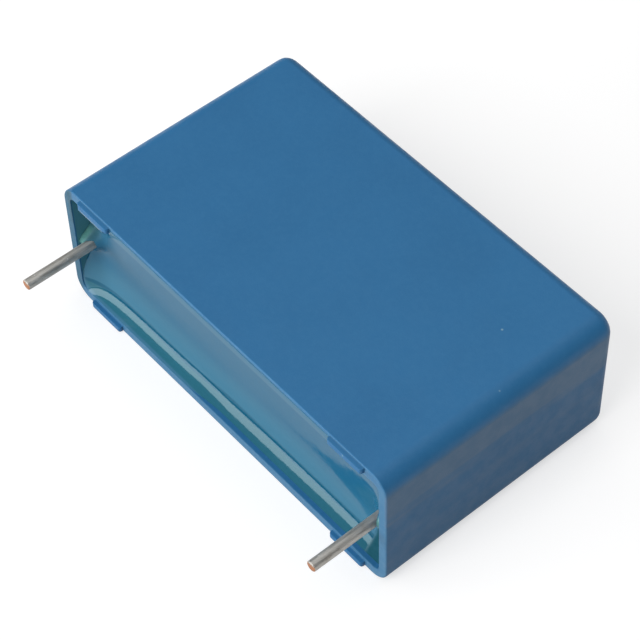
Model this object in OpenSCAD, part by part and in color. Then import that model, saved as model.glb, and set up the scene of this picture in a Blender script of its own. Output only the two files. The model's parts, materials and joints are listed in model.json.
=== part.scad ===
// Box film capacitor: a moulded case, open on its board side, that holds a wound
// film element potted in resin, with two straight wire leads.
//
// The part lies on one large face. X runs along the case from lead to lead, the
// open side and the leads face -Y, and Z is up. The origin is the middle of the
// footprint of the whole part, on the surface that it lies on.

/* [Case] */
// Depth of the case, from its open rim to its closed side
case_d = 24.6; // [19:0.1:45]
// Thickness of the case, between its two large faces
case_t = 13.9; // [11:0.1:30]
// Wall at the two narrow ends
end_wall = 0.9; // [0.6:0.05:1.3]
// Wall under the two large faces
face_wall = 1.05; // [0.6:0.05:1.3]
// Wall at the closed side
closed_wall = 1.2; // [0.8:0.05:2]
// Radius of the four edges that run from the rim to the closed side
corner_r = 1.8; // [1.7:0.05:2.6]
// Radius of the edge round the closed side
closed_r = 1.1; // [0.3:0.05:1.4]
// Radius of the four inside corners
inner_r = 0.7; // [0.4:0.05:1.2]

/* [Standoff feet] */
// Length of a foot along the rim
foot_l = 4.05; // [2:0.05:8]
// Thickness of a foot
foot_t = 0.6; // [0.4:0.05:0.9]
// Height of a foot above the rim
foot_h = 0.4; // [0.3:0.05:1.2]
// Step from the large face of the case back to the foot
foot_step = 0.1; // [0:0.05:0.2]
// Distance from the end of the case to the first foot
foot_from_end = 2.55; // [2:0.05:6]
// Radius of the two free corners of a foot
foot_r = 0.25; // [0.1:0.05:0.3]

/* [Leads] */
// Distance between the two lead axes, which sets the length of the case
lead_pitch = 37.5; // [20:0.5:52.5]
// Diameter of a lead
lead_dia = 1.0; // [0.6:0.05:1.1]
// Resin between a lead and the end wall beside it
lead_gap = 0.5; // [0.2:0.05:3]
// Straight length of a lead below the feet
lead_free = 5.7; // [2:0.05:25]
// Length of lead that is welded to the end of the film winding
lead_weld = 10; // [4:0.5:13]
// Depth of lead that is sunk in the sprayed end contact
lead_sink = 0.15; // [0.05:0.05:0.3]

/* [Film winding] */
// Thickness of a sprayed end contact
contact_t = 0.6; // [0.4:0.05:1]
// Resin between the winding and the walls round it
winding_gap = 0.65; // [0.3:0.05:2]
// Resin that covers the winding on the open side
resin_cover = 1.2; // [0.8:0.1:3]

/* [Potting resin] */
// Level of the resin below the rim, at the middle
resin_drop = 2.25; // [1.8:0.05:3]
// How much lower the resin stands at the right end than at the left end
resin_fall = 0.5; // [0:0.05:0.5]
// Radius of the hollow with which the resin climbs the walls
meniscus_r = 4.3; // [3.6:0.1:5]
// Level below the rim at which the resin meets the large walls, at the middle
wall_edge = 0.35; // [0.3:0.05:1.2]
// Level below the rim at which the resin meets the left end wall
left_edge = 0.3; // [0.2:0.05:1.4]
// Level below the rim at which the resin meets the right end wall
right_edge = 1.45; // [0.2:0.05:1.6]
// Height to which the resin climbs a lead
collar_h = 1; // [0.3:0.05:1.2]
// Width by which the thin foot of that collar is cut short
collar_trim = 0.08; // [0.05:0.01:0.15]

/* [Hidden] */
$fn = 64;

over = 1;                                  // how far a cutter runs past the face that it opens
lead_r = lead_dia / 2;
lead_reach = foot_h + lead_free;           // from the rim to the tip of a lead
rim_y = (lead_reach - case_d) / 2;         // the rim's place, with the part centred on the origin
mid_z = case_t / 2;

cavity_l = lead_pitch + lead_dia + 2 * lead_gap;
case_l = cavity_l + 2 * end_wall;
cavity_t = case_t - 2 * face_wall;
cavity_d = case_d - closed_wall;

contact_x = lead_pitch / 2 - lead_r + lead_sink;      // outer face of a sprayed contact
winding_l = 2 * (contact_x - contact_t);
winding_t = cavity_t - 2 * winding_gap;
winding_end = cavity_d - winding_gap;

fall_angle = atan(resin_fall / cavity_l);
left_level = resin_drop - resin_fall / 2;
right_level = resin_drop + resin_fall / 2;
winding_top = right_level + resin_cover;
lead_end = min(winding_top + lead_weld, winding_end);

blue = [0.20, 0.42, 0.60];
teal = [0.20, 0.48, 0.55];
film = [0.72, 0.72, 0.70];
zinc = [0.50, 0.51, 0.52];
tinned = [0.62, 0.62, 0.60];

// Puts a piece that is drawn from the rim at y = 0 and from the middle of the
// thickness at z = 0 in its place.
module in_place() {
    translate([0, rim_y, mid_z]) children();
}

// Rectangle with four round corners, centred.
module round_rect(w, h, r) {
    square([w - 2 * r, h], center = true);
    square([w, h - 2 * r], center = true);
    for (sx = [-1, 1], sy = [-1, 1])
        translate([sx * (w / 2 - r), sy * (h / 2 - r)]) circle(r);
}

// Half of a section through a closed end: w wide and d deep, with its far corner
// rounded by r.
module half_section(w, d, r) {
    difference() {
        square([w, d]);
        translate([w - r, d - r])
            difference() {
                square(r + over);
                circle(r);
            }
    }
}

// Slab l wide and t thick that runs from y = 0 to y = d, with its far edges rounded.
module closed_slab(l, t, d, r) {
    linear_extrude(t, center = true)
        for (side = [0, 1]) mirror([side, 0]) half_section(l / 2, d, r);
}

// Block l by t by d with side edges of radius side_r and far edges of radius far_r,
// which meet in smooth round corners.
module blind_block(l, t, d, side_r, far_r) {
    closed_slab(l, t - 2 * side_r, d, far_r);
    rotate([0, 90, 0]) closed_slab(t, l - 2 * side_r, d, far_r);
    for (sx = [-1, 1], sz = [-1, 1])
        translate([sx * (l / 2 - side_r), 0, sz * (t / 2 - side_r)])
            rotate([-90, 0, 0])
                rotate_extrude() half_section(side_r, d, far_r);
}

// Space inside the case, from y = from to the closed wall.
module cavity(from) {
    translate([0, from, 0])
        rotate([-90, 0, 0])
            linear_extrude(cavity_d - from)
                round_rect(cavity_l, cavity_t, inner_r);
}

// One standoff foot, centred on x = 0, that is rooted in the wall and stands on the rim.
module foot() {
    translate([0, face_wall / 2, 0])
        mirror([0, 1, 0])
            closed_slab(foot_l, foot_t, foot_h + face_wall / 2, foot_r);
}

// Stadium outline of the flattened roll, from its open side to its closed side.
module roll_outline() {
    roll_r = winding_t / 2;
    translate([winding_top + roll_r, -roll_r])
        square([winding_end - winding_top - winding_t, winding_t]);
    for (y = [winding_top + roll_r, winding_end - roll_r]) translate([y, 0]) circle(roll_r);
}

// The roll's outline as a block that runs along X from x0 to x1.
module roll_block(x0, x1) {
    translate([x0, 0, 0]) rotate([90, 0, 90]) linear_extrude(x1 - x0) roll_outline();
}

// Wire of one lead, from its tip to the end of its weld.
module wire(side) {
    translate([side * lead_pitch / 2, -lead_reach, 0])
        rotate([-90, 0, 0])
            cylinder(r = lead_r, h = lead_reach + lead_end);
}

// Sprayed metal on one end of the roll, with a groove that the lead is sunk in.
module contact(side) {
    difference() {
        mirror([side < 0 ? 1 : 0, 0, 0]) roll_block(winding_l / 2, contact_x);
        wire(side);
    }
}

// How far the hollow runs past a wall that the resin climbs by h: its round edge then
// meets the wall at that height, and at a clean angle.
function past_wall(h) = meniscus_r - sqrt(meniscus_r ^ 2 - (meniscus_r - h) ^ 2);

// Channel with a level floor and two round edges: it reaches w0 and w1 from the middle
// at its widest, and is l long.
module channel(w0, w1, l) {
    linear_extrude(l, center = true) {
        mirror([1, 0]) half_section(w0, resin_drop + over, meniscus_r);
        half_section(w1, resin_drop + over, meniscus_r);
    }
}

// Hollow above the resin: one channel along the case crosses one channel across it,
// and the floor that they share falls to the right.
module pool_hollow() {
    side_w = cavity_t / 2 + past_wall(resin_drop - wall_edge);
    translate([0, resin_drop, 0])
        rotate([0, 0, fall_angle])
            translate([0, -resin_drop - over, 0])
                intersection() {
                    channel(cavity_l / 2 + past_wall(left_level - left_edge),
                            cavity_l / 2 + past_wall(right_level - right_edge), case_t);
                    rotate([0, 90, 0]) channel(side_w, side_w, case_l);
                }
}

// Resin that climbs one lead in a hollow cone.
module lead_collar(side) {
    collar_floor = resin_drop + side * lead_pitch / 2 * tan(fall_angle);
    collar_w = collar_h - collar_trim;
    translate([side * lead_pitch / 2, collar_floor, 0])
        rotate([90, 0, 0])
            rotate_extrude()
                difference() {
                    translate([0, -resin_cover / 2]) square([lead_r + collar_w, resin_cover / 2 + collar_h]);
                    translate([lead_r + collar_w, collar_h]) circle(collar_h);
                }
}

// Moulded case with its four standoff feet.
module case() {
    foot_x = case_l / 2 - foot_from_end - foot_l / 2;
    foot_z = case_t / 2 - foot_step - foot_t / 2;
    color(blue) in_place() {
        difference() {
            blind_block(case_l, case_t, case_d, corner_r, closed_r);
            cavity(-over);
        }
        for (sx = [-1, 1], sz = [-1, 1]) translate([sx * foot_x, 0, sz * foot_z]) foot();
    }
}

// Resin that fills the case round the winding, with its dished and tilted surface.
module resin_fill() {
    color(teal) in_place() difference() {
        intersection() {
            cavity(0);
            union() {
                difference() {
                    cavity(0);
                    pool_hollow();
                }
                for (side = [-1, 1]) lead_collar(side);
            }
        }
        roll_block(-contact_x, contact_x);
        for (side = [-1, 1]) wire(side);
    }
}

// Flattened roll of metallised film.
module film_winding() {
    color(film) in_place() roll_block(-winding_l / 2, winding_l / 2);
}

module end_contact_left() {
    color(zinc) in_place() contact(-1);
}

module end_contact_right() {
    color(zinc) in_place() contact(1);
}

module lead_left() {
    color(tinned) in_place() wire(-1);
}

module lead_right() {
    color(tinned) in_place() wire(1);
}

case();
resin_fill();
film_winding();
end_contact_left();
end_contact_right();
lead_left();
lead_right();
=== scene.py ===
import json
import math

import bmesh
import bpy
from mathutils import Matrix, Vector, noise

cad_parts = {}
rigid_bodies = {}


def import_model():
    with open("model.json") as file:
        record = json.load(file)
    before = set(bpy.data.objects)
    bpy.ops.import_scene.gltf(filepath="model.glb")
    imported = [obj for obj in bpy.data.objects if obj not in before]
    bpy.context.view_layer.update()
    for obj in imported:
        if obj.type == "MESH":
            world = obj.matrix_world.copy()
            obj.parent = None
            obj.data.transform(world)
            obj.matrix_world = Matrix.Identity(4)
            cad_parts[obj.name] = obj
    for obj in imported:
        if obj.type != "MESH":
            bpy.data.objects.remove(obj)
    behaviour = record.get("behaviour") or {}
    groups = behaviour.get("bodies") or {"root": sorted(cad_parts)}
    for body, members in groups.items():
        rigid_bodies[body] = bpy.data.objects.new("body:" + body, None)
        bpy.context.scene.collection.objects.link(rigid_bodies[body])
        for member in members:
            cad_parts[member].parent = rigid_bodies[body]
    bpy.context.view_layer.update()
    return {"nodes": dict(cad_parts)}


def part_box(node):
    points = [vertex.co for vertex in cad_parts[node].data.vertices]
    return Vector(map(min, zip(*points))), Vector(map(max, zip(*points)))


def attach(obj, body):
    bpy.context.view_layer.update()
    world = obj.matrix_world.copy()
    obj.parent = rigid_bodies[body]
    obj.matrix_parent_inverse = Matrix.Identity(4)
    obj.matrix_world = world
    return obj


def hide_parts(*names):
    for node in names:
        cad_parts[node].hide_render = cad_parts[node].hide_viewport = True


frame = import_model()
mm = 0.001
tiny = 0.01 * mm
weldGap = 0.001 * mm

# ----- modelling helpers

def startEdit():
    bpy.ops.object.mode_set(mode="EDIT")


def endEdit():
    bpy.ops.object.mode_set(mode="OBJECT")


def deselectAll():
    if bpy.context.object and bpy.context.object.mode != "OBJECT":
        endEdit()
    bpy.ops.object.select_all(action="DESELECT")


def pickOnly(piece):
    deselectAll()
    piece.select_set(True)
    bpy.context.view_layer.objects.active = piece


def applyPlace():
    bpy.ops.object.transform_apply(location=True, rotation=True, scale=True)


def newBox(name, low, high):
    # a box between two corners, with its place in its mesh
    deselectAll()
    low, high = Vector(low), Vector(high)
    bpy.ops.mesh.primitive_cube_add(size=1, location=(low + high) / 2)
    piece = bpy.context.object
    piece.name = piece.data.name = name
    piece.scale = high - low
    applyPlace()
    return piece


def pickFaces(piece, test):
    # selects the faces whose centre and normal pass the test, and nothing else
    bpy.ops.mesh.select_mode(type="FACE")
    bpy.ops.mesh.select_all(action="DESELECT")
    work = bmesh.from_edit_mesh(piece.data)
    for face in work.faces:
        face.select_set(test(face.calc_center_median(), face.normal))
    work.select_flush_mode()
    bmesh.update_edit_mesh(piece.data)


def pickEdges(piece, test):
    # selects the edges whose two ends pass the test, and nothing else
    bpy.ops.mesh.select_mode(type="EDGE")
    bpy.ops.mesh.select_all(action="DESELECT")
    work = bmesh.from_edit_mesh(piece.data)
    for edge in work.edges:
        edge.select_set(test(edge.verts[0].co, edge.verts[1].co))
    bmesh.update_edit_mesh(piece.data)


def bevelPicked(radius, segments):
    # the radius is in millimetres
    bpy.ops.mesh.bevel(offset=radius * mm, segments=segments, affect="EDGES")


def bevelEdges(piece, test, radius, segments):
    pickEdges(piece, test)
    bevelPicked(radius, segments)


def turnNormalsOut():
    bpy.ops.mesh.select_all(action="SELECT")
    bpy.ops.mesh.normals_make_consistent(inside=False)


def applyAll(piece):
    pickOnly(piece)
    for step in list(piece.modifiers):
        bpy.ops.object.modifier_apply(modifier=step.name)


def booleanWith(piece, tool, how):
    step = piece.modifiers.new("cut", "BOOLEAN")
    step.operation, step.solver, step.object = how, "EXACT", tool
    pickOnly(piece)
    bpy.ops.object.modifier_apply(modifier=step.name)
    bpy.data.objects.remove(tool)


def smoothBy(piece, degrees):
    pickOnly(piece)
    bpy.ops.object.shade_smooth_by_angle(angle=math.radians(degrees))


def near(a, b):
    return abs(a - b) < tiny


def alongY(a, b):
    return near(a.x, b.x) and near(a.z, b.z)


# ----- the case

caseLook = {                       # millimetres; each rounding is a radius and its segments
    "footHeight": 0.4,             # as in the part's source
    "footLength": 4.05,
    "footThick": 0.6,
    "footStep": 0.1,
    "footFromEnd": 2.55,
    "footRoot": 0.5,               # how far a foot is sunk in the wall
    "footRound": (0.25, 5),
    "footEdgeRound": (0.05, 2),
    "sideRound": (1.8, 12),
    "closedRound": (1.1, 8),
    "insideRound": (0.7, 6),
    "endWall": 0.9,
    "faceWall": 1.05,
    "closedWall": 1.2,
    "rimOuterRound": (0.15, 3),    # worn edges of the moulding
    "rimInnerRound": (0.06, 2),
    "rimBand": 0.1,                # how far from the inner wall an edge still counts as inner
    "cutPast": 1,                  # how far the cavity's cutter runs past the rim
    "smoothAngle": 35,
}
caseLow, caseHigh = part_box("case")
rimY = caseLow.y + caseLook["footHeight"] * mm
floorY = caseHigh.y - caseLook["closedWall"] * mm
midZ = (caseLow.z + caseHigh.z) / 2
wallX = caseHigh.x - caseLook["endWall"] * mm
wallZ = (caseHigh.z - caseLow.z) / 2 - caseLook["faceWall"] * mm


def cavityBlock(name, frontY):
    # the space inside the case, from frontY to the closed wall
    block = newBox(name, (-wallX, frontY, midZ - wallZ), (wallX, floorY, midZ + wallZ))
    startEdit()
    bevelEdges(block, alongY, *caseLook["insideRound"])
    endEdit()
    return block


def insideRim(point):
    band = caseLook["rimBand"] * mm
    return abs(point.x) < wallX + band and abs(point.z - midZ) < wallZ + band


def onRim(a, b, inner):
    # edges of the rim's flat face, either those of the cavity or the outer ones
    if not (near(a.y, rimY) and near(b.y, rimY)):
        return False
    return insideRim(a) == insideRim(b) == inner


def makeShell():
    look = caseLook
    case = newBox("case_shell", (caseLow.x, rimY, caseLow.z), caseHigh)
    startEdit()
    bevelEdges(case, alongY, *look["sideRound"])
    atBack = lambda a, b: near(a.y, caseHigh.y) and near(b.y, caseHigh.y)
    bevelEdges(case, atBack, *look["closedRound"])
    endEdit()
    booleanWith(case, cavityBlock("cavity", rimY - look["cutPast"] * mm), "DIFFERENCE")
    pickOnly(case)
    startEdit()
    bevelEdges(case, lambda a, b: onRim(a, b, False), *look["rimOuterRound"])
    bevelEdges(case, lambda a, b: onRim(a, b, True), *look["rimInnerRound"])
    endEdit()
    return case


def makeFoot():
    # the upper right foot, which the others are copies of
    look = caseLook
    right = caseHigh.x - look["footFromEnd"] * mm
    top = caseHigh.z - look["footStep"] * mm
    low = (right - look["footLength"] * mm, caseLow.y, top - look["footThick"] * mm)
    foot = newBox("foot", low, (right, rimY + look["footRoot"] * mm, top))
    startEdit()
    endCorners = lambda a, b: near(a.y, caseLow.y) and near(a.x, b.x) and near(b.y, a.y)
    bevelEdges(foot, endCorners, *look["footRound"])
    bevelEdges(foot, lambda a, b: near(a.z, b.z) and min(a.y, b.y) < rimY - tiny,
               *look["footEdgeRound"])
    endEdit()
    return foot


def makeCase():
    case = makeShell()
    foot = makeFoot()
    for sideX, sideZ in ((1, 1), (-1, 1), (1, -1), (-1, -1)):
        pickOnly(foot)
        bpy.ops.object.duplicate()
        copy = bpy.context.object
        copy.scale = (sideX, 1, sideZ)
        copy.location.z = 0 if sideZ > 0 else 2 * midZ
        applyPlace()
        startEdit()
        turnNormalsOut()
        endEdit()
        booleanWith(case, copy, "UNION")
    bpy.data.objects.remove(foot)
    smoothBy(case, caseLook["smoothAngle"])
    even = case.modifiers.new("even shading", "WEIGHTED_NORMAL")
    even.keep_sharp = True
    applyAll(case)
    return case


case = makeCase()
print("case moulded,", len(case.data.vertices), "vertices")


# ----- the resin

resinLook = {                      # millimetres; a pair is where something starts and ends
    "level": 2.262,                # depth of the pool below the rim at the middle
    "fall": 0.197,                 # more depth to the right, less to the left
    "fallLength": 9.1,
    "lowLevel": 2.167,             # the same beside the lower wall
    "lowFall": 0.339,
    "lowFallMiddle": -2.53,
    "lowFallLength": 6.11,
    "lowBlend": (0.66, 5.0),       # distance from the lower wall where one level meets the other
    "lowLift": 0.11,               # a little more depth near the lower wall at the right
    "lowLiftAlong": (3, 16),
    "lowLiftAway": (0.7, 2.6),
    "lowContact": 0.47,            # where the resin leaves the lower wall, right of the middle
    "filledEdge": 0.02,            # and left of it, where it fills the edge
    "contactAlong": (-6, -0.5),
    "topContact": 0.4,             # where it leaves the upper wall, beside the film
    "lowReach": 1.186,             # how quickly the slope at the lower wall dies out
    "lowReachMore": 0.227,         # more of that to the right, less to the left
    "topReach": 0.75,
    "leftRise": 1.62,              # rise at the left wall
    "leftReach": 1.6,
    "leftFade": 0.9,               # share of it that dies out towards the upper wall
    "leftFadeAway": (1.4, 6.0),
    "rightRise": 1.03,             # rise at the right wall
    "rightReach": 4.055,
    "rightLow": 0.146,             # share of it that is left at the lower wall
    "rightBand": 7.43,
    "rightRoot": 0.9,              # short steep rise at the right wall
    "rightRootReach": 2.9,
    "cone": 0.22,                  # wide rise round the right lead
    "coneReach": 1.25,
    "climbLeft": 1.05,             # collar round a lead
    "climbRight": 0.35,
    "climbReach": 0.42,
    "climbMost": 0.9,              # largest share of the depth that a collar fills
    "webTopLeft": 0.3,             # web of resin between a lead and the end wall
    "webTopRight": 0.2,
    "webHalfHeight": 1.0,
    "webAlong": (-0.3, 0.45),
    "leastDepth": 0.01,
    "leadHalfPitch": 18.75,        # as in the part's source
    "leadRound": 0.5,
    "columns": 300,
    "rows": 130,
    "rowSpread": (0.3, 0.7),       # even share of the rows, and share drawn to the lower wall
    "castPast": 0.2,               # how far the outline's cutter runs past the rim
    "filmThick": 0.04,             # skin of resin that ran over the upper rim
    "filmHalfLength": 14.05,
    "filmWidth": 0.72,
    "filmSink": 0.02,
    "filmFadeRight": 1.4,
    "filmFadeLeft": (1.5, 3.5),
    "filmCuts": 90,
    "filmEdgeRound": (0.03, 3),
    "filmWaves": ((0.9, 3, 0.05), (3.1, 7, 0.025)),    # rate, seed and height of its ragged edge
    "coatEnds": (-18.0, -14.6),    # resin on the inner side of the left upper foot
    "coatFrom": 0.02,
    "coatTo": 0.4,
    "coatBelow": 0.03,
    "coatRound": (0.12, 4),
    "smoothAngle": 60,
}


def smoothStep(start, end, x):
    t = min(1, max(0, (x - start) / (end - start)))
    return t * t * (3 - 2 * t)


def resinDepth(x, z):
    # depth of the surface below the rim; x and z in mm from the middle of the opening
    look = resinLook
    halfX, halfZ = wallX / mm, wallZ / mm
    fromLeft, fromRight, fromLow = x + halfX, halfX - x, z + halfZ
    # the floor of the pool, which rises at both ends
    along = math.tanh((x - look["lowFallMiddle"]) / look["lowFallLength"])
    bowl = look["lowLevel"] + look["lowFall"] * along
    high = look["level"] + look["fall"] * math.tanh(x / look["fallLength"])
    bowl += (high - bowl) * smoothStep(*look["lowBlend"], fromLow)
    lifted = look["lowLift"] * smoothStep(*look["lowLiftAlong"], x)
    bowl += lifted * (1 - smoothStep(*look["lowLiftAway"], fromLow))
    left = 1 - look["leftFade"] * smoothStep(*look["leftFadeAway"], fromLow)
    bowl -= left * look["leftRise"] * math.exp(-fromLeft / look["leftReach"])
    share = look["rightLow"] + (1 - look["rightLow"]) * smoothStep(0, look["rightBand"], fromLow)
    bowl -= share * look["rightRise"] * math.exp(-fromRight / look["rightReach"])
    root = max(0, 1 - fromRight / look["rightRootReach"]) ** 2
    bowl -= (1 - share) * look["rightRoot"] * root
    away = max(0, math.hypot(x - look["leadHalfPitch"], z) - look["leadRound"])
    bowl -= look["cone"] * math.exp(-away / look["coneReach"])
    # the lower wall: filled to the edge on the left, lower on the right
    contact = look["filledEdge"]
    contact += (look["lowContact"] - contact) * smoothStep(*look["contactAlong"], x)
    reach = look["lowReach"] + look["lowReachMore"] * along
    depth = bowl - max(0, bowl - contact) * math.exp(-fromLow / reach)
    # the upper wall, where the film runs over the rim
    filmEnd = look["filmHalfLength"]
    fadeStart, fadeEnd = look["filmFadeLeft"]
    onFilm = 1 - smoothStep(filmEnd - look["filmFadeRight"], filmEnd, x)
    onFilm -= smoothStep(-filmEnd - fadeStart, -filmEnd - fadeEnd, x)
    upper = look["topContact"] - (look["topContact"] + look["filmThick"]) * onFilm
    depth -= max(0, bowl - upper) * math.exp(-(halfZ - z) / look["topReach"])
    # collars and webs at the leads
    for side, end in ((-1, "Left"), (1, "Right")):
        away = max(0, math.hypot(x - side * look["leadHalfPitch"], z) - look["leadRound"])
        collar = look["climb" + end] * math.exp(-away / look["climbReach"])
        depth -= min(collar, look["climbMost"] * max(0, depth))
        beside = smoothStep(*look["webAlong"], side * x - look["leadHalfPitch"])
        web = beside * math.exp(-(z / look["webHalfHeight"]) ** 2)
        depth -= web * max(0, depth - look["webTop" + end])
    return max(depth, -look["filmThick"] * onFilm if z > 0 else look["leastDepth"])


def cutterFrom(node):
    # a welded copy of a solid, to cut its own shape out of the piece round it
    pickOnly(node)
    bpy.ops.object.duplicate()
    cutter = bpy.context.object
    bpy.ops.object.parent_clear(type="CLEAR_KEEP_TRANSFORM")
    applyPlace()
    startEdit()
    bpy.ops.mesh.select_all(action="SELECT")
    bpy.ops.mesh.remove_doubles(threshold=weldGap)
    turnNormalsOut()
    endEdit()
    return cutter


def makeFilm(top):
    # thin slab along the upper rim, whose outer edge is ragged
    look = resinLook
    thick, endX = look["filmThick"] * mm, look["filmHalfLength"] * mm
    innerZ, outerZ = top - look["filmSink"] * mm, top + look["filmWidth"] * mm
    film = newBox("film", (-endX, rimY - thick, innerZ), (endX, rimY, outerZ))
    startEdit()
    pickEdges(film, lambda a, b: near(a.y, b.y) and near(a.z, b.z))
    bpy.ops.mesh.subdivide(number_cuts=look["filmCuts"])
    onEdge = lambda point: near(point.y, rimY - thick) and near(point.z, outerZ)
    bevelEdges(film, lambda a, b: onEdge(a) and onEdge(b), *look["filmEdgeRound"])
    endEdit()
    for vert in film.data.vertices:
        share = (vert.co.z - innerZ) / (outerZ - innerZ)
        x = vert.co.x / mm
        ragged = sum(noise.noise((x * rate, seed, 0)) * height
                     for rate, seed, height in look["filmWaves"])
        vert.co.z += share * abs(ragged * mm)
    return film


def makeCoat(top):
    look = resinLook
    left, right = (end * mm for end in look["coatEnds"])
    below = look["coatBelow"] * mm
    low = (left, caseLow.y + below, top + look["coatFrom"] * mm)
    high = (right, rimY + below, top + look["coatTo"] * mm)
    coat = newBox("coat", low, high)
    startEdit()
    onLowEdge = lambda point: point.y < rimY and near(point.z, low[2])
    bevelEdges(coat, lambda a, b: onLowEdge(a) and onLowEdge(b), *look["coatRound"])
    endEdit()
    return coat


def makeResin():
    look = resinLook
    halfX, halfZ = wallX / mm, wallZ / mm
    even, drawn = look["rowSpread"]
    deselectAll()
    bpy.ops.mesh.primitive_grid_add(x_subdivisions=look["columns"], y_subdivisions=look["rows"],
                                    size=2)
    resin = bpy.context.object
    resin.name = resin.data.name = "resin_pool"
    for vert in resin.data.vertices:
        t = (vert.co.y + 1) / 2
        t = even * t + drawn * t * t
        x, z = vert.co.x * halfX, (2 * t - 1) * halfZ
        vert.co = Vector((x * mm, rimY + resinDepth(x, z) * mm, midZ + z * mm))
    # the edge goes down to the floor of the case and is closed there
    startEdit()
    bpy.ops.mesh.select_mode(type="EDGE")
    bpy.ops.mesh.select_all(action="DESELECT")
    bpy.ops.mesh.select_non_manifold()
    bpy.ops.mesh.extrude_edges_move()
    bpy.ops.transform.resize(value=(1, 0, 1), center_override=(0, floorY, midZ))
    bpy.ops.mesh.edge_face_add()
    turnNormalsOut()
    endEdit()
    booleanWith(resin, cavityBlock("cast", rimY - look["castPast"] * mm), "INTERSECT")
    booleanWith(resin, makeFilm(midZ + wallZ), "UNION")
    booleanWith(resin, makeCoat(midZ + wallZ), "UNION")
    inside = ("film_winding", "end_contact_left", "end_contact_right", "lead_left", "lead_right")
    for name in inside:
        booleanWith(resin, cutterFrom(frame["nodes"][name]), "DIFFERENCE")
    smoothBy(resin, look["smoothAngle"])
    return resin


resin = makeResin()
print("resin poured,", len(resin.data.vertices), "vertices")


# ----- the leads

leadLook = {
    "sides": 48,
    "tipRound": (0.11, 3),
    "tipInset": 0.12,
    "freeLength": 5.7,             # below the feet, as in the part's source
    "smoothAngle": 40,
}


def makeLead(side):
    low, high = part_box("lead_" + side)
    deselectAll()
    bpy.ops.mesh.primitive_cylinder_add(
        vertices=leadLook["sides"], radius=(high.x - low.x) / 2, depth=high.y - low.y,
        location=(low + high) / 2, rotation=(math.radians(90), 0, 0), end_fill_type="NGON")
    lead = bpy.context.object
    lead.name = lead.data.name = "lead_wire_" + side
    applyPlace()
    startEdit()
    facesTip = lambda centre, normal: normal.y < -0.99
    pickFaces(lead, facesTip)
    bevelPicked(*leadLook["tipRound"])
    pickFaces(lead, facesTip)
    bpy.ops.mesh.inset(thickness=leadLook["tipInset"] * mm)
    endEdit()
    smoothBy(lead, leadLook["smoothAngle"])
    return lead


leadLeft, leadRight = makeLead("left"), makeLead("right")
print("leads cut")


# ----- material helpers

def newMaterial(name):
    material = bpy.data.materials.new(name)
    material.use_nodes = True
    return material


def principled(name, constants):
    material = newMaterial(name)
    shader = material.node_tree.nodes["Principled BSDF"]
    for key, value in constants.items():
        shader.inputs[key].default_value = value
    return material, material.node_tree, shader


def finishPaint(tree, shader, colour, rough, normal):
    for name, value in (("Base Color", colour), ("Roughness", rough), ("Normal", normal)):
        tree.links.new(value, shader.inputs[name])


def fill(tree, socket, value):
    # links a socket to another, or sets its value
    if hasattr(value, "is_output"):
        tree.links.new(value, socket)
    elif socket.type == "RGBA" and len(value) == 3:
        socket.default_value = (*value, 1)
    else:
        socket.default_value = value


def addNode(tree, kind, values=None, **settings):
    node = tree.nodes.new(kind)
    for name, value in settings.items():
        setattr(node, name, value)
    for name, value in (values or {}).items():
        fill(tree, node.inputs[name], value)
    return node


def vectorMaths(tree, operation, values, output=0):
    inputs = dict(enumerate(values))
    return addNode(tree, "ShaderNodeVectorMath", inputs, operation=operation).outputs[output]


def objectMillimetres(tree):
    coords = addNode(tree, "ShaderNodeTexCoord")
    return stretched(tree, coords.outputs["Object"], (1000, 1000, 1000))


def axes(tree, vector):
    return addNode(tree, "ShaderNodeSeparateXYZ", {0: vector}).outputs


def stretched(tree, vector, factors):
    return vectorMaths(tree, "MULTIPLY", (vector, factors))


def noiseOf(tree, vector, scale, detail=3, roughness=0.55):
    values = {"Vector": vector, "Scale": scale, "Detail": detail, "Roughness": roughness}
    return addNode(tree, "ShaderNodeTexNoise", values).outputs["Fac"]


def ramp(tree, value, start, end, low=0.0, high=1.0):
    values = {"Value": value, "From Min": start, "From Max": end, "To Min": low, "To Max": high}
    return addNode(tree, "ShaderNodeMapRange", values,
                   interpolation_type="SMOOTHSTEP").outputs["Result"]


def maths(tree, operation, a, b=0.0):
    return addNode(tree, "ShaderNodeMath", {0: a, 1: b}, operation=operation).outputs[0]


def product(tree, value, *others):
    for other in others:
        value = maths(tree, "MULTIPLY", value, other)
    return value


def within(tree, value, fadeIn, fadeOut):
    return product(tree, ramp(tree, value, *fadeIn), ramp(tree, value, *fadeOut))


def blend(tree, factor, a, b):
    # a and b are colours or colour sockets
    mixer = tree.nodes.new("ShaderNodeMix")
    mixer.data_type = "RGBA"
    colours = [socket for socket in mixer.inputs if socket.type == "RGBA"]
    for socket, value in zip([mixer.inputs["Factor"]] + colours, (factor, a, b)):
        fill(tree, socket, value)
    return [socket for socket in mixer.outputs if socket.type == "RGBA"][0]


def bump(tree, height, strength, distance):
    values = {"Height": height, "Strength": strength, "Distance": distance}
    return addNode(tree, "ShaderNodeBump", values).outputs[0]


# ----- blue plastic

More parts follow.
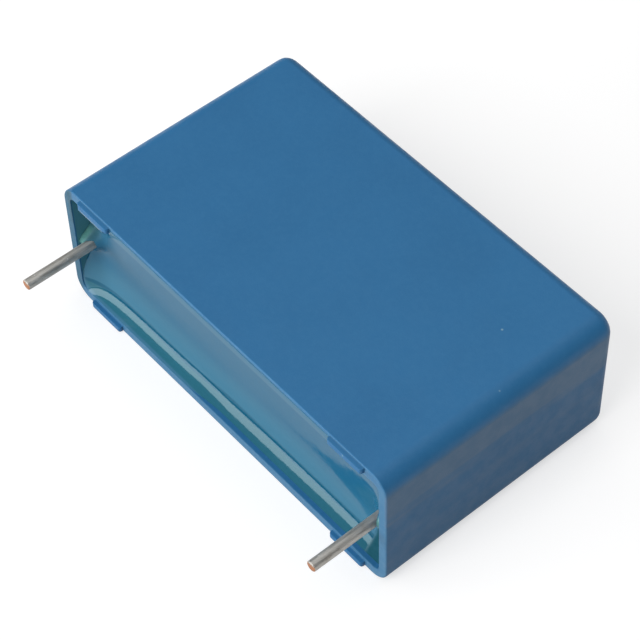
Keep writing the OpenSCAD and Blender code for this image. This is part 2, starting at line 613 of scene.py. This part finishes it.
# places are in object millimetres, and pairs such as wallTintX say where a tint fades in and out
rimMm = rimY / mm
plasticLook = {
    "colour": (0.028, 0.167, 0.37),
    "paler": (0.05, 0.215, 0.42),
    "palerShare": 0.16,
    "darker": (0.02, 0.135, 0.31),
    "darkerShare": 0.35,
    # painted highlight: paler colour of the rim face, for the light and reflection it catches
    "rim": (0.07, 0.215, 0.375),
    "rimY": ((rimMm - 0.1, rimMm - 0.03), (rimMm + 0.12, rimMm + 0.03)),
    "rimSheenX": (-20.0, -19.3, 0.3, 1),
    "rimSheenZ": (12.6, 13.3, 1, 0.7),
    "rimLeft": (0.028, 0.13, 0.22),
    "rimLeftX": (-19.4, -20.0),
    "wallTint": (0.08, 0.27, 0.33),    # resin that stains the inner side of the left wall
    "wallTintX": ((-20.0, -19.85), (-19.55, -19.7)),
    "wallTintY": ((rimMm + 0.1, rimMm + 0.2), (13.9, 13.7)),
    "wallTintZ": ((1.0, 1.1), (12.9, 12.8)),
    "rimShade": (0.03, 0.105, 0.15),   # painted shade on the inner half of the left end's rim
    "rimShadeShare": 0.7,
    "rimShadeStart": (-20.2, -19.95),
    "rimShadeEnd": (-19.2, -19.5),
    "rimShadeZ": (9.2, 9.8),
    "endReflection": (0.085, 0.195, 0.34),   # painted reflection: greyer band below the upper edge of the right end face, for the lit floor it mirrors
    "endReflectionX": (20.3, 20.6),
    "endReflectionZ": (7.9, 9.9),
    "endReflectionTop": (12.9, 11.9),
    "streakHeight": 0.7,
    "streakShare": (0.1, 0.4),
    # pale specks; the first, on the front of the upper right foot, is a painted glint
    "speckAndGlint": (0.2, 0.36, 0.47),
    "speckAndGlintSize": (0.13, 0.05),
    "specksAndGlint": ((16.0, -9.65, 13.55), (15.3, 7.75, 13.9), (19.5, 3.5, 13.7)),
    "roughness": (0.4, 0.52),
    "grain": (0.25, 0.00004),
}


def makePlastic():
    look = plasticLook
    material, tree, shader = principled("blue_plastic", {"Specular IOR Level": 0.3})
    place = objectMillimetres(tree)
    x, y, z = axes(tree, place)
    cloud = ramp(tree, noiseOf(tree, place, 0.12, 4), 0.3, 0.7)
    fine = ramp(tree, noiseOf(tree, place, 2.2, 5, 0.65), 0.35, 0.7)
    ragged = product(tree, maths(tree, "SUBTRACT", noiseOf(tree, place, 0.8, 4), 0.5), 0.5)
    colour = blend(tree, product(tree, cloud, look["darkerShare"]), look["colour"], look["darker"])
    colour = blend(tree, product(tree, fine, look["palerShare"]), colour, look["paler"])
    # painted highlight: the rim face is painted paler, patchy with fine noise, for the light and
    # reflection it catches, but less so at its left and upper parts
    atRim = within(tree, y, *look["rimY"])
    rimSheen = product(tree, ramp(tree, fine, 0, 1, 0.7, 1), ramp(tree, x, *look["rimSheenX"]),
                   ramp(tree, z, *look["rimSheenZ"]))
    colour = blend(tree, product(tree, atRim, rimSheen), colour, look["rim"])
    onLeft = product(tree, atRim, ramp(tree, x, *look["rimLeftX"]))
    colour = blend(tree, onLeft, colour, look["rimLeft"])
    inLeft = product(tree, within(tree, x, *look["wallTintX"]), within(tree, y, *look["wallTintY"]),
                     within(tree, z, *look["wallTintZ"]))
    colour = blend(tree, inLeft, colour, look["wallTint"])
    # painted shade: the inner half of the left end's rim is darker above z 9.5, with a ragged edge
    rimShadeMask = product(tree, atRim, ramp(tree, maths(tree, "ADD", x, ragged), *look["rimShadeStart"]),
                    ramp(tree, x, *look["rimShadeEnd"]),
                    ramp(tree, maths(tree, "ADD", z, ragged), *look["rimShadeZ"]))
    colour = blend(tree, product(tree, rimShadeMask, look["rimShadeShare"]), colour, look["rimShade"])
    # the painted reflection on the end face has faint streaks along y
    high = look["streakHeight"]
    drawn = noiseOf(tree, stretched(tree, place, (1, 0.08, 1)), 0.5, 2, 0.5)
    streaks = ramp(tree, drawn, 0.3, 0.7, -high, high)
    band = product(tree, ramp(tree, maths(tree, "ADD", z, streaks), *look["endReflectionZ"]),
                   ramp(tree, z, *look["endReflectionTop"]))
    band = maths(tree, "ADD", band, ramp(tree, streaks, -high, high, *look["streakShare"]))
    band = product(tree, ramp(tree, x, *look["endReflectionX"]), band)
    colour = blend(tree, maths(tree, "MINIMUM", band, 1.0), colour, look["endReflection"])
    # pale specks, and a painted glint on the front of the upper right foot
    for spot in look["specksAndGlint"]:
        gap = vectorMaths(tree, "DISTANCE", (place, spot), "Value")
        colour = blend(tree, ramp(tree, gap, *look["speckAndGlintSize"]), colour, look["speckAndGlint"])
    rough = ramp(tree, noiseOf(tree, place, 0.9, 4), 0.3, 0.7, *look["roughness"])
    grain = noiseOf(tree, place, 7.0, 3, 0.6)
    finishPaint(tree, shader, colour, rough, bump(tree, grain, *look["grain"]))
    return material


# ----- resin paint

resinPaint = {
    "deep": (0.014, 0.138, 0.26),
    # painted reflection: milky tint towards the lower wall, for the bright floor the resin mirrors
    "milkyReflection": (0.042, 0.185, 0.30),
    "milkyReflectionZ": (4.9, 3.0),
    "darkReflection": (0.0, 0.10, 0.185),        # painted reflection: dark line between the milky middle and the wall, where the resin mirrors something dark
    "darkReflectionZ": (2.3, 2.13),
    "nearWall": (0.02, 0.128, 0.185),
    "nearWallLeft": (0.022, 0.142, 0.205),
    "nearWallX": (2, -8),
    "nearWallZ": (1.93, 1.8),
    # painted shade: the resin at the upper left, beside and above the left lead, is painted dark
    "shadeBehindLead": (0.012, 0.095, 0.125),
    "shadeBehindLeadX": (-17.9, -19.0),
    "shadeBehindLeadZ": (6.6, 7.6),
    "thin": (0.10, 0.27, 0.25),        # thin resin on a lead lets the pale metal show, and the paler tint is partly a painted highlight
    "thinLeft": (0.07, 0.22, 0.20),
    "thinSideX": (-1, 1),
    "thinX": (18.9, 19.3),
    "thinZ": ((6.2, 6.9), (8.4, 7.9)),
    "skin": (0.05, 0.175, 0.285),      # thin resin on the rim lets the plastic show, and its paler tint is partly a painted highlight, like the rim's
    "skinY": (rimMm + 0.3, rimMm + 0.12),
    "coat": (0.04, 0.185, 0.36),
    "coatY": (rimMm - 0.05, rimMm - 0.1),
    "corner": (0.0, 0.075, 0.11),      # painted shade: the lower right corner is painted darker, and it is also dull
    "cornerX": (17.3, 17.8),
    "cornerZ": (5.0, 4.0),
    "fine": (0.05, 0.2, 0.3),
    "fineShare": 0.12,
    "roughness": (0.03, 0.09),
    "dull": 0.85,
    "rootX": (-17.4, -18.1),           # the resin round the left lead is dull too
    "rootZ": (5.6, 6.3),
    "rootShare": 0.6,
    "wave": (0.12, 0.00006),
}


def makeResinPaint():
    look = resinPaint
    material, tree, shader = principled("pot_resin", {"Specular IOR Level": 0.5,
                                                      "Specular Tint": (0.74, 0.93, 0.96, 1)})
    place = objectMillimetres(tree)
    x, y, z = axes(tree, place)
    cloud = noiseOf(tree, place, 0.35, 4)
    ragged = product(tree, maths(tree, "SUBTRACT", cloud, 0.5), 1.5)
    # painted reflection: the resin is milky towards the lower wall
    colour = blend(tree, ramp(tree, z, *look["milkyReflectionZ"]), look["deep"], look["milkyReflection"])
    # painted reflection: dark line near the lower wall
    colour = blend(tree, ramp(tree, z, *look["darkReflectionZ"]), colour, look["darkReflection"])
    wall = blend(tree, ramp(tree, x, *look["nearWallX"]), look["nearWall"], look["nearWallLeft"])
    colour = blend(tree, ramp(tree, z, *look["nearWallZ"]), colour, wall)
    # painted shade: dark resin beside and above the left lead
    left = product(tree, ramp(tree, maths(tree, "ADD", x, ragged), *look["shadeBehindLeadX"]),
                   ramp(tree, maths(tree, "ADD", z, ragged), *look["shadeBehindLeadZ"]))
    colour = blend(tree, left, colour, look["shadeBehindLead"])
    side = maths(tree, "ABSOLUTE", x)
    # partly thin resin, partly painted highlight: paler tint on the web between each lead and the
    # end wall
    web = product(tree, ramp(tree, side, *look["thinX"]), within(tree, z, *look["thinZ"]))
    thin = blend(tree, ramp(tree, x, *look["thinSideX"]), look["thinLeft"], look["thin"])
    colour = blend(tree, web, colour, thin)
    # partly thin resin, partly painted highlight: the resin at the rim is paler, with a ragged edge
    edge = maths(tree, "ADD", y, product(tree, ragged, 0.05))
    colour = blend(tree, ramp(tree, edge, *look["skinY"]), colour, look["skin"])
    colour = blend(tree, ramp(tree, y, *look["coatY"]), colour, look["coat"])
    # painted shade: darker lower right corner, which is also made dull
    corner = product(tree, ramp(tree, x, *look["cornerX"]), ramp(tree, z, *look["cornerZ"]))
    colour = blend(tree, corner, colour, look["corner"])
    fine = ramp(tree, noiseOf(tree, place, 3.0, 5, 0.6), 0.3, 0.75)
    colour = blend(tree, product(tree, fine, look["fineShare"]), colour, look["fine"])
    rough = ramp(tree, noiseOf(tree, place, 1.1, 4), 0.3, 0.7, *look["roughness"])
    root = product(tree, ramp(tree, x, *look["rootX"]), ramp(tree, z, *look["rootZ"]))
    dull = maths(tree, "MAXIMUM", corner, product(tree, root, look["rootShare"]))
    rough = maths(tree, "ADD", rough, product(tree, dull, look["dull"]))
    wave = noiseOf(tree, place, 0.8, 3)
    finishPaint(tree, shader, colour, rough, bump(tree, wave, *look["wave"]))
    return material


# ----- tinned wire

tinLook = {
    "dark": (0.43, 0.42, 0.39),
    "pale": (0.60, 0.59, 0.56),
    "spot": (0.2, 0.15, 0.1),
    "spotShare": 0.25,
    "glint": (0.85, 0.86, 0.86),
    "glintShare": 0.6,
    "copper": (0.55, 0.27, 0.15),      # shows at the cut end, with tin wiped over its upper part
    "copperDepth": (0.02, 0.08),
    "copperZ": (7.6, 7.4),
    "roughness": (0.5, 0.65),
    "scratches": (0.5, 0.00005),
}


def makeTin():
    look = tinLook
    material, tree, shader = principled("tinned", {"Metallic": 1.0})
    place = objectMillimetres(tree)
    y, z = axes(tree, place)[1:]
    drawn = noiseOf(tree, stretched(tree, place, (1, 0.12, 1)), 5.0, 4, 0.6)
    colour = blend(tree, ramp(tree, drawn, 0.35, 0.7), look["dark"], look["pale"])
    spots = ramp(tree, noiseOf(tree, place, 1.3, 3), 0.5, 0.7)
    colour = blend(tree, product(tree, spots, look["spotShare"]), colour, look["spot"])
    glints = ramp(tree, noiseOf(tree, place, 3.1, 2), 0.68, 0.76)
    colour = blend(tree, product(tree, glints, look["glintShare"]), colour, look["glint"])
    tip = caseLow.y / mm - leadLook["freeLength"]
    start, end = look["copperDepth"]
    wiped = maths(tree, "ADD", z, product(tree, noiseOf(tree, place, 2.5, 3), 0.5))
    cut = product(tree, ramp(tree, y, tip + start, tip + end, 1, 0),
                  ramp(tree, wiped, *look["copperZ"]))
    colour = blend(tree, cut, colour, look["copper"])
    rough = ramp(tree, drawn, 0.3, 0.7, *look["roughness"])
    finishPaint(tree, shader, colour, rough, bump(tree, drawn, *look["scratches"]))
    return material


# ----- the hidden winding and its ends

windingLook = {
    "dark": (0.36, 0.36, 0.35),
    "pale": (0.72, 0.72, 0.70),
    "roughness": (0.25, 0.45),
    "ridges": (0.3, 0.00003),
}
zincLook = {
    "dark": (0.24, 0.24, 0.25),
    "pale": (0.5, 0.5, 0.52),
    "roughness": (0.75, 0.6),
    "grain": (0.6, 0.0001),
}


def makeFilmPaint():
    # turns of metallised film, seen from the side
    look = windingLook
    material, tree, shader = principled("wound_film", {"Metallic": 0.75})
    turns = noiseOf(tree, stretched(tree, objectMillimetres(tree), (0.03, 1, 1)), 6.0, 4, 0.7)
    colour = blend(tree, turns, look["dark"], look["pale"])
    rough = ramp(tree, turns, 0.3, 0.7, *look["roughness"])
    finishPaint(tree, shader, colour, rough, bump(tree, turns, *look["ridges"]))
    return material


def makeZinc():
    # sprayed metal: matt and grainy
    look = zincLook
    material, tree, shader = principled("sprayed_zinc", {"Metallic": 0.9})
    grains = noiseOf(tree, objectMillimetres(tree), 6.0, 5, 0.7)
    colour = blend(tree, ramp(tree, grains, 0.3, 0.7), look["dark"], look["pale"])
    rough = ramp(tree, grains, 0.3, 0.7, *look["roughness"])
    finishPaint(tree, shader, colour, rough, bump(tree, grains, *look["grain"]))
    return material


# ----- dressing

def paint(piece, material):
    piece.data.materials.clear()
    piece.data.materials.append(material)


def dress(piece, material, node):
    paint(piece, material)
    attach(piece, "root")
    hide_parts(node)


bluePlastic, potResin, tin = makePlastic(), makeResinPaint(), makeTin()
dress(case, bluePlastic, "case")
dress(resin, potResin, "resin_fill")
dress(leadLeft, tin, "lead_left")
dress(leadRight, tin, "lead_right")
paint(frame["nodes"]["film_winding"], makeFilmPaint())
zinc = makeZinc()
for name in ("end_contact_left", "end_contact_right"):
    paint(frame["nodes"][name], zinc)
print("pieces dressed")


# ----- floor, lights and camera

stageLook = {                          # metres and watts
    "floorSize": 3,
    "paper": (0.5, 0.5, 0.5),
    "farPaper": (0.03, 0.03, 0.03),
    "farFrom": (0.15, 0.26),
    "glow": 0.62,
    "mirroredGlow": (0.018, 0.07, 0.3, 1.1),
    "room": 0.15,
    "lamps": {                         # place, aim, size and power
        "key_light": ((-0.25, -0.433, 0.137), (0, 0, 0.007), (0.8, 0.18), 2.0),
        "front_fill": ((0.05, -0.40, 0.40), (0, 0, 0), (0.3, 0.3), 1.5),
        "top_light": ((-0.05, 0.1, 0.6), (0, 0, 0), (0.6, 0.6), 1.2),
        "back_light": ((0.0, 0.45, 0.2), (0, 0, 0.01), (0.5, 0.2), 0.15),
    },
    "lens": 127.04,
    "cameraPlace": (0.092424, -0.073433, 0.155027),
    "cameraRight": (0.6488, 0.760707, -0.019581),
    "cameraDown": (0.586945, -0.516645, -0.623357),
}


def makeFloor():
    look = stageLook
    deselectAll()
    bpy.ops.mesh.primitive_plane_add(size=look["floorSize"], location=(0, 0, 0))
    floor = bpy.context.object
    floor.name = "floor"
    material = newMaterial("floor_paper")
    tree = material.node_tree
    tree.nodes.remove(tree.nodes["Principled BSDF"])
    seen = addNode(tree, "ShaderNodeLightPath").outputs
    mirrored = maths(tree, "MAXIMUM", seen["Is Glossy Ray"], seen["Is Transmission Ray"])
    # a mirror-like surface sees a floor that is bright round the part and dark further off
    place = addNode(tree, "ShaderNodeTexCoord").outputs["Object"]
    away = vectorMaths(tree, "LENGTH", (place,), "Value")
    far = ramp(tree, away, *look["farFrom"])
    shine = product(tree, ramp(tree, away, *look["mirroredGlow"]), maths(tree, "SUBTRACT", 1, far))
    strength = maths(tree, "ADD", product(tree, seen["Is Camera Ray"], look["glow"]),
                     product(tree, mirrored, shine))
    white = blend(tree, product(tree, mirrored, far), look["paper"], look["farPaper"])
    paper = addNode(tree, "ShaderNodeBsdfDiffuse", {"Color": white})
    glow = addNode(tree, "ShaderNodeEmission", {"Color": (1, 1, 1, 1), "Strength": strength})
    both = addNode(tree, "ShaderNodeAddShader", {0: paper.outputs[0], 1: glow.outputs[0]})
    tree.links.new(both.outputs[0], tree.nodes["Material Output"].inputs["Surface"])
    floor.data.materials.append(material)


def inScene(name, data):
    thing = bpy.data.objects.new(name, data)
    bpy.context.scene.collection.objects.link(thing)
    return thing


def softLamp(name, place, aim, size, power):
    lamp = inScene(name, bpy.data.lights.new(name, "AREA"))
    lamp.data.shape, lamp.data.size, lamp.data.size_y = "RECTANGLE", size[0], size[1]
    lamp.data.energy = power
    lamp.location = place
    lamp.rotation_mode = "QUATERNION"
    lamp.rotation_quaternion = (Vector(aim) - Vector(place)).to_track_quat("-Z", "Y")


def makeLights():
    world = bpy.data.worlds.new("room")
    bpy.context.scene.world = world
    world.use_nodes = True
    room = world.node_tree.nodes["Background"].inputs
    room["Color"].default_value = (1, 1, 1, 1)
    room["Strength"].default_value = stageLook["room"]
    for name, settings in stageLook["lamps"].items():
        softLamp(name, *settings)


def makeCamera():
    look = stageLook
    camera = inScene("camera", bpy.data.cameras.new("camera"))
    bpy.context.scene.camera = camera
    camera.data.sensor_width, camera.data.lens = 36, look["lens"]
    camera.data.clip_start, camera.data.clip_end = 0.01, 10
    right = Vector(look["cameraRight"]).normalized()
    down = Vector(look["cameraDown"]).normalized()
    ahead = right.cross(down)
    turn = Matrix((right, -down, -ahead)).transposed().to_4x4()
    camera.matrix_world = Matrix.Translation(look["cameraPlace"]) @ turn


makeFloor()
makeLights()
makeCamera()
bpy.context.scene.view_settings.view_transform = "Standard"
print("stage set")
